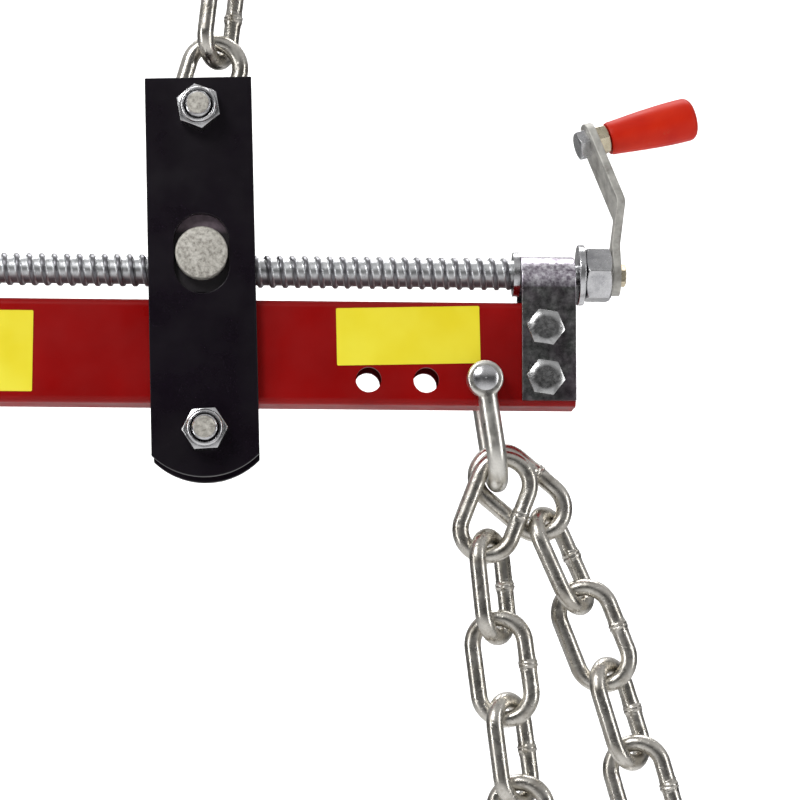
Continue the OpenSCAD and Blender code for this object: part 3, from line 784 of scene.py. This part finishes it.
def make_grip():
    """Tapered grip with a rounded end and two faint mould seams."""
    near, far, length, soft = 8.25 * MM, 10.75 * MM, 45 * MM, 4 * MM
    taper = ((0, 0), (0.03, 0.02), (0.06, 0.04), (0.12, 0.14), (0.25, 0.36), (0.4, 0.60))
    taper += ((0.55, 0.80), (0.68, 0.93), (0.78, 0.99), (0.86, 1.0), (0.91, 1.0))
    profile = [(near + (far - near) * part, at * length) for at, part in taper]
    profile[0] = (near - 0.5 * MM, 0)
    profile.insert(0, (4.1 * MM, 0))
    for a in np.linspace(0, math.pi / 2, 9)[1:]:
        profile.append((far - soft + soft * math.cos(a), length - soft + soft * math.sin(a)))
    profile.append((1.5 * MM, length - 0.1 * MM))
    verts, faces = lathe(profile, 96)
    verts = np.array(verts)
    angle = np.arctan2(verts[:, 1], verts[:, 0])
    radius = np.hypot(verts[:, 0], verts[:, 1])
    seam = 0.12 * MM * bell(np.sin(angle), 0.035)
    verts[:, :2] *= np.where(radius > 5 * MM, 1 + seam / radius, 1.0)[:, None]
    shape = Shape().add(verts, faces, on_grip(ARM_HALF + GRIP_NUT_H + 0.3 * MM, 70))
    build("moulded_grip", shape, "grip", "grip", "grip_plastic", sharp=50)


def make_grip_hardware():
    shape = Shape().add(*hexagon(GRIP_NUT_AF, 5.3 * MM), on_grip(-ARM_HALF, 30, -1))
    shape.add(*lathe([(4 * MM, 0), (4 * MM, 42.5 * MM)], 40), on_grip(-ARM_HALF))
    build("grip_bolt_turned", shape, "lead_screw", "grip_bolt", "zinc_plate", 0.15 * MM, 40)
    shape = Shape().add(*hexagon(GRIP_NUT_AF, GRIP_NUT_H, 4.05 * MM), on_grip(ARM_HALF, 30))
    build("grip_nut_turned", shape, "lead_screw", "grip_nut", "yellow_zinc", 0.15 * MM, 40)


# ---------------------------------------------------------------- bolts and nuts


def make_hanger_hardware():
    """Two M12 bolts through both plates, each with a locking nut on the camera's side."""
    front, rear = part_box("hanger_plate_front")[0].y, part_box("hanger_plate_rear")[1].y
    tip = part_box("hanger_bolts")[0].y
    shank, root, soft = 6 * MM, 5.2 * MM, 0.4 * MM
    thread_from = front - 8 * MM
    thread_length = thread_from - tip - soft
    collar = ((8.5, 8.4), (8.8, 9.0), (8.8, 10.8), (8.6, 11.7), (8.1, 12.3), (7.5, 12.5))
    collar += ((7.0, 12.2), (6.7, 11.0), (6.7, 8.4))
    collar = [(r * MM, h * MM) for r, h in collar]
    bolts, nuts, ends = Shape(), Shape(), Shape()
    for k, (x, _, z) in enumerate((joint_at("hanger_swing"), joint_at("roller_spin"))):
        bolts.add(*hexagon(18 * MM, 7.5 * MM), turned_to(ACROSS, (x, rear, z), 17 * k))
        bolts.add(*lathe([(shank, 0), (shank, rear - thread_from)], 48), turned_to(TOWARDS, (x, rear, z)))
        threaded = thread(shank, 0.7 * MM, 1.75 * MM, 0, thread_length, 40, 8, 0.5)
        bolts.add(*threaded, turned_to(TOWARDS, (x, thread_from, z)))
        end = lathe([(root, -0.6 * MM), (root, 0), (root - soft, soft)], 40)
        ends.add(*end, turned_to(TOWARDS, (x, tip + soft, z)))
        place = turned_to(TOWARDS, (x, front, z), 10 + 24 * k)
        nuts.add(*hexagon(19 * MM, 9 * MM, shank + 0.05 * MM), place)
        nuts.add(*lathe(collar, 64, True), place)
    build("hanger_bolts_turned", bolts, "hanger", "hanger_bolts", "zinc_plate", 0.12 * MM, 45)
    build("hanger_bolt_ends", ends, "hanger", "hanger_bolts", "zinc_plate", sharp=45, finish="trunnion_steel")
    build("hanger_lock_nuts", nuts, "hanger", "hanger_nuts", "zinc_plate", 0.15 * MM, 45)


def beam_height():
    lo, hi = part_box("beam")
    return (lo.z + hi.z) / 2


def make_bracket_hardware():
    """Two M10 bolts through the beam at each end, with their nuts on the far side."""
    bolts, nuts = Shape(), Shape()
    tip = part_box("bracket_bolts")[1].y
    shank, threaded, off_middle, up = 5 * MM, 9 * MM, 2 * MM, 12 * MM
    for node, inward in (("bracket_left", 1), ("bracket_right", -1)):
        lo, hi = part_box(node)
        x = (lo.x + hi.x) / 2 + inward * off_middle
        for way in (-1, 1):
            z = beam_height() + way * up
            bolts.add(*hexagon(16 * MM, 6.4 * MM, face=0.40), turned_to(TOWARDS, (x, lo.y, z), 22))
            length = tip - lo.y - threaded
            bolts.add(*lathe([(shank, 0), (shank, length)], 40), turned_to(ACROSS, (x, lo.y, z)))
            end = thread(shank, 0.6 * MM, 1.5 * MM, 0, threaded, 36, 8, 0.5)
            bolts.add(*end, turned_to(ACROSS, (x, tip - threaded, z)))
            nut = hexagon(16 * MM, 8.4 * MM, shank + 0.05 * MM)
            nuts.add(*nut, turned_to(ACROSS, (x, hi.y, z), 40 + 60 * way))
    build("bracket_bolts_turned", bolts, "beam", "bracket_bolts", "zinc_plate", 0.15 * MM, 40, "bolt_steel")
    build("bracket_nuts_turned", nuts, "beam", "bracket_nuts", "zinc_plate", 0.15 * MM, 40)


def make_labels_piece():
    """Thin stickers on the beam's front; the one near the crank sits a little askew."""
    co = np.array([v.co for v in CAD["labels"].data.vertices])
    middle = (co[:, 0].min() + co[:, 0].max()) / 2
    left, right = co[co[:, 0] < middle], co[co[:, 0] > middle]
    shape = Shape()
    for part, w, h, turn in ((left, 60 * MM, 38.8 * MM, 0.0), (right, 68.5 * MM, 27.6 * MM, 1.5)):
        centre = (part.min(0) + part.max(0)) / 2
        half = (part[:, 1].max() - part[:, 1].min()) / 2
        c, s = math.cos(math.radians(turn)), math.sin(math.radians(turn))
        outline = rounded_box(w, h, 0.7 * MM)
        verts = [(x, z, y) for y in (-half, half) for x, z in outline]
        place = frame_of((c, 0, s), (-s, 0, c), (0, -1, 0), centre)
        shape.add(verts, rings_to_faces(2, len(outline)), place)
    build("plain_labels", shape, "beam", "labels", "label_vinyl", 0.06 * MM, 60)


# ---------------------------------------------------------------- plates, straps, block, tabs

TOP_BOLT_UP = 115.8 * MM  # heights over the beam's middle, along the hanger
LOW_BOLT_UP = -38.5 * MM
SLOT_UP = 46.2 * MM


def hanger_frame():
    """The hanger's X, Y and Z axes and the point on its middle line level with the beam."""
    top, low = joint_at("hanger_swing"), joint_at("roller_spin")
    z = (top - low) / np.linalg.norm(top - low)
    y = np.array(ACROSS, float)
    return np.cross(y, z), y, z, top - TOP_BOLT_UP * z


def make_hanger_plates():
    """Square at the top, rounded at the bottom, with a slot for the pin and two bolt holes."""
    half, top, bottom, arc_r, soft = 25.5 * MM, 131.5 * MM, -60.5 * MM, 36 * MM, 0.4 * MM
    turn = math.asin(half / arc_r)
    outline = [(half - soft, top), (-half + soft, top), (-half, top - soft)]
    for t in np.linspace(-turn, turn, 40):
        outline.append((arc_r * math.sin(t), bottom + arc_r - arc_r * math.cos(t)))
    outline.append((half, top - soft))
    slot_r, slot_half = 13.1 * MM, 6.15 * MM
    slot = []
    for t in np.linspace(0, TAU, 64, endpoint=False):
        shift = slot_half if t < math.pi else -slot_half
        slot.append((slot_r * math.cos(t), SLOT_UP + shift + slot_r * math.sin(t)))
    holes = [circle(up, 6.2 * MM, 40) for up in (TOP_BOLT_UP, LOW_BOLT_UP)]
    verts, faces = slab([outline, slot] + holes, 4.5 * MM, 0.45 * MM)
    x, y, z, at = hanger_frame()
    for node in ("hanger_plate_front", "hanger_plate_rear"):
        lo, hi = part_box(node)
        shape = Shape().add(verts, faces, frame_of(x, z, -y, at + y * (lo.y + hi.y) / 2))
        build("punched_" + node, shape, "hanger", node, "black_paint", sharp=50)


def make_straps():
    """Flat bar bent over the screw and down both sides of the beam."""
    outer, inner, arc_up, bottom = 15.6 * MM, 12.6 * MM, 33.4 * MM, -22.5 * MM
    arc = np.linspace(0, math.pi, 40)
    loop = [(outer * math.cos(t), arc_up + outer * math.sin(t)) for t in arc]
    loop += [(-outer, bottom), (-inner, bottom)]
    loop += [(inner * math.cos(t), arc_up + inner * math.sin(t)) for t in arc[::-1]]
    loop += [(inner, bottom), (outer, bottom)]
    for node in ("bracket_left", "bracket_right"):
        lo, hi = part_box(node)
        middle = ((lo.x + hi.x) / 2, (lo.y + hi.y) / 2, beam_height())
        place = frame_of((0, 1, 0), (0, 0, 1), (1, 0, 0), middle)
        shape = Shape().add(*slab([loop], hi.x - lo.x, 0.55 * MM), place)
        build("bent_" + node, shape, "beam", node, "bracket_steel", sharp=50)


def make_trunnion():
    """Pin through both plates' slots, and the block on it that the screw runs in."""
    lo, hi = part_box("trunnion_nut")
    at = joint_at("beam_tilt")
    reach = (hi.y - lo.y) / 2
    end = [(0.02, 0.0), (11.4, 0.0), (12.1, 0.3), (12.5, 1.0)]
    end = [(r * MM, reach - drop * MM) for r, drop in end]
    profile = [(r, -z) for r, z in end] + [(r, z) for r, z in reversed(end)]
    pins = Shape().add(*lathe(profile, 72), turned_to(ACROSS, at))
    build("turned_trunnion_pins", pins, "trunnion_nut", "trunnion_nut", "trunnion_steel", sharp=60)
    outline = rounded_box(hi.x - lo.x, hi.z - lo.z, 2 * MM)
    middle = ((lo.x + hi.x) / 2, at[1], (lo.z + hi.z) / 2)
    place = frame_of((1, 0, 0), (0, 0, 1), (0, -1, 0), middle)
    block = Shape().add(*slab([outline], 26 * MM, 0.8 * MM), place)
    build(
        "trunnion_block", block, "trunnion_nut", "trunnion_nut", "trunnion_steel", sharp=50, finish="block_steel"
    )


def make_tabs():
    """Plates that bolt to the engine: a hole for the chain's last link, one for the bolt."""
    holes = [circle(26.5 * MM, 7 * MM, 48), circle(-23.5 * MM, 6.5 * MM, 48)]
    verts, faces = slab([rounded_box(38 * MM, 78 * MM, 8 * MM)] + holes, 6 * MM, 0.6 * MM)
    bodies = frame["record"]["behaviour"]["bodies"]
    for node in sorted(n for n in CAD if n.endswith("engine_tab")):
        m = placed_like(node)
        shape = Shape().add(verts, faces, frame_of(m[:3, 0], m[:3, 2], -m[:3, 1], m[:3, 3]))
        body = next(name for name, members in bodies.items() if node in members)
        build("pressed_" + node, shape, body, node, "tab_steel", sharp=50)


# ---------------------------------------------------------------- stage, light, camera


def make_floor():
    """Pale paper that lies under the object and curves up behind it."""
    z = CAD_BOX[0].z - 0.16
    half, near, back, curve, top = 9.0, -6.0, 3.2, 1.6, 7.0
    profile = [(near, 0.0), (back, 0.0)]
    for t in np.linspace(0, math.pi / 2, 14)[1:]:
        profile.append((back + curve * math.sin(t), curve * (1 - math.cos(t))))
    profile.append((back + curve, top))
    verts = [(x, y, z + h) for x in (-half, half) for y, h in profile]
    n = len(profile)
    faces = [(k, k + 1, n + k + 1, n + k) for k in range(n - 1)]
    mesh = bpy.data.meshes.new("backdrop")
    mesh.from_pydata(verts, [], faces)
    mesh.shade_smooth()
    floor = bpy.data.objects.new("backdrop", mesh)
    bpy.context.scene.collection.objects.link(floor)
    g = Graph("backdrop_paper")
    base = g.mix(g.vary(2.0, 0.0, 1.0, 2), (0.90, 0.90, 0.90), (0.93, 0.93, 0.93))
    mesh.materials.append(g.done(colour=base, Roughness=0.9))
    floor.visible_glossy = False


def make_world():
    """White to the camera; to the object, dark level bands between a bright floor and sky."""
    world = bpy.data.worlds.new("studio")
    world.use_nodes = True
    world.node_tree.nodes.clear()
    n = Nodes(world.node_tree)
    way = n.node("ShaderNodeTexCoord").outputs["Generated"]
    split = n.node("ShaderNodeSeparateXYZ", Vector=way)
    greys = ((0.0, 0.95), (0.22, 0.75), (0.42, 0.16), (0.5, 0.05))
    greys += ((0.59, 0.055), (0.66, 0.28), (0.85, 0.55), (1.0, 0.35))
    bands = n.ramp(n.span(split.outputs["Z"], -1, 1, 0, 1), [(at, (v, v, v * 1.01)) for at, v in greys])
    behind = n.span(split.outputs["Y"], 0.35, 0.95, 0.0, 0.20)
    behind.node.interpolation_type = "SMOOTHSTEP"
    soft = n.node("ShaderNodeBackground", Color=n.mix(1.0, bands, behind, "ADD"))
    seen = n.node("ShaderNodeBackground", Color=(1, 1, 1, 1))
    to_camera = n.node("ShaderNodeLightPath").outputs["Is Camera Ray"]
    choose = n.node("ShaderNodeMixShader")
    for socket, value in zip(choose.inputs, (to_camera, soft.outputs[0], seen.outputs[0])):
        n.put(socket, value)
    n.node("ShaderNodeOutputWorld", Surface=choose.outputs[0])
    bpy.context.scene.world = world


def area_light(name, at, target, size, size_y, power):
    data = bpy.data.lights.new(name, "AREA")
    data.shape = "RECTANGLE"
    data.size, data.size_y = size, size_y
    data.energy = power
    obj = bpy.data.objects.new(name, data)
    obj.location = at
    obj.rotation_mode = "QUATERNION"
    obj.rotation_quaternion = (Vector(target) - Vector(at)).to_track_quat("-Z", "Y")
    bpy.context.scene.collection.objects.link(obj)


def make_lights():
    middle = (0.05, 0, -0.3)
    area_light("key", (-1.0, -1.6, 1.1), middle, 0.8, 0.8, 26)
    area_light("left_strip", (-1.7, -0.9, -0.3), middle, 0.35, 1.5, 9)
    area_light("right_strip", (1.8, -0.8, -0.2), middle, 0.35, 1.5, 9)
    area_light("top", (0.1, 0.6, 1.4), middle, 1.4, 0.5, 14)
    area_light("backdrop_wash", (0.0, 1.4, 2.2), (0, 4.4, 0.2), 3.0, 1.2, 190)


def make_camera():
    """Where the picture was taken from: a little below, and right of the hanger."""
    trunnion = joint_at("beam_tilt")
    at = Vector((trunnion[0] + 0.0324, -1.392, -0.4407))
    look = Vector((trunnion[0] + 0.0955, 0.0, -0.2700))
    data = bpy.data.cameras.new("camera")
    data.lens = 131.6
    data.sensor_width = 36
    data.clip_start, data.clip_end = 0.01, 50
    cam = bpy.data.objects.new("camera", data)
    cam.location = at
    cam.rotation_mode = "QUATERNION"
    roll = Matrix.Rotation(math.radians(0.19), 4, "Z").to_quaternion()
    cam.rotation_quaternion = (look - at).to_track_quat("-Z", "Y") @ roll
    bpy.context.scene.collection.objects.link(cam)
    bpy.context.scene.camera = cam


dress_cad_nodes()
make_links()
make_lift_ring()
for side in ("left", "right"):
    make_shackle(side)
make_cap_screw()
make_screw_washers()
make_lead_screw()
make_end_nuts()
make_crank_arm()
make_grip()
make_grip_hardware()
make_hanger_hardware()
make_bracket_hardware()
make_labels_piece()
make_hanger_plates()
make_straps()
make_trunnion()
make_tabs()
make_floor()
make_world()
make_lights()
make_camera()
bpy.context.scene.view_settings.view_transform = "Standard"
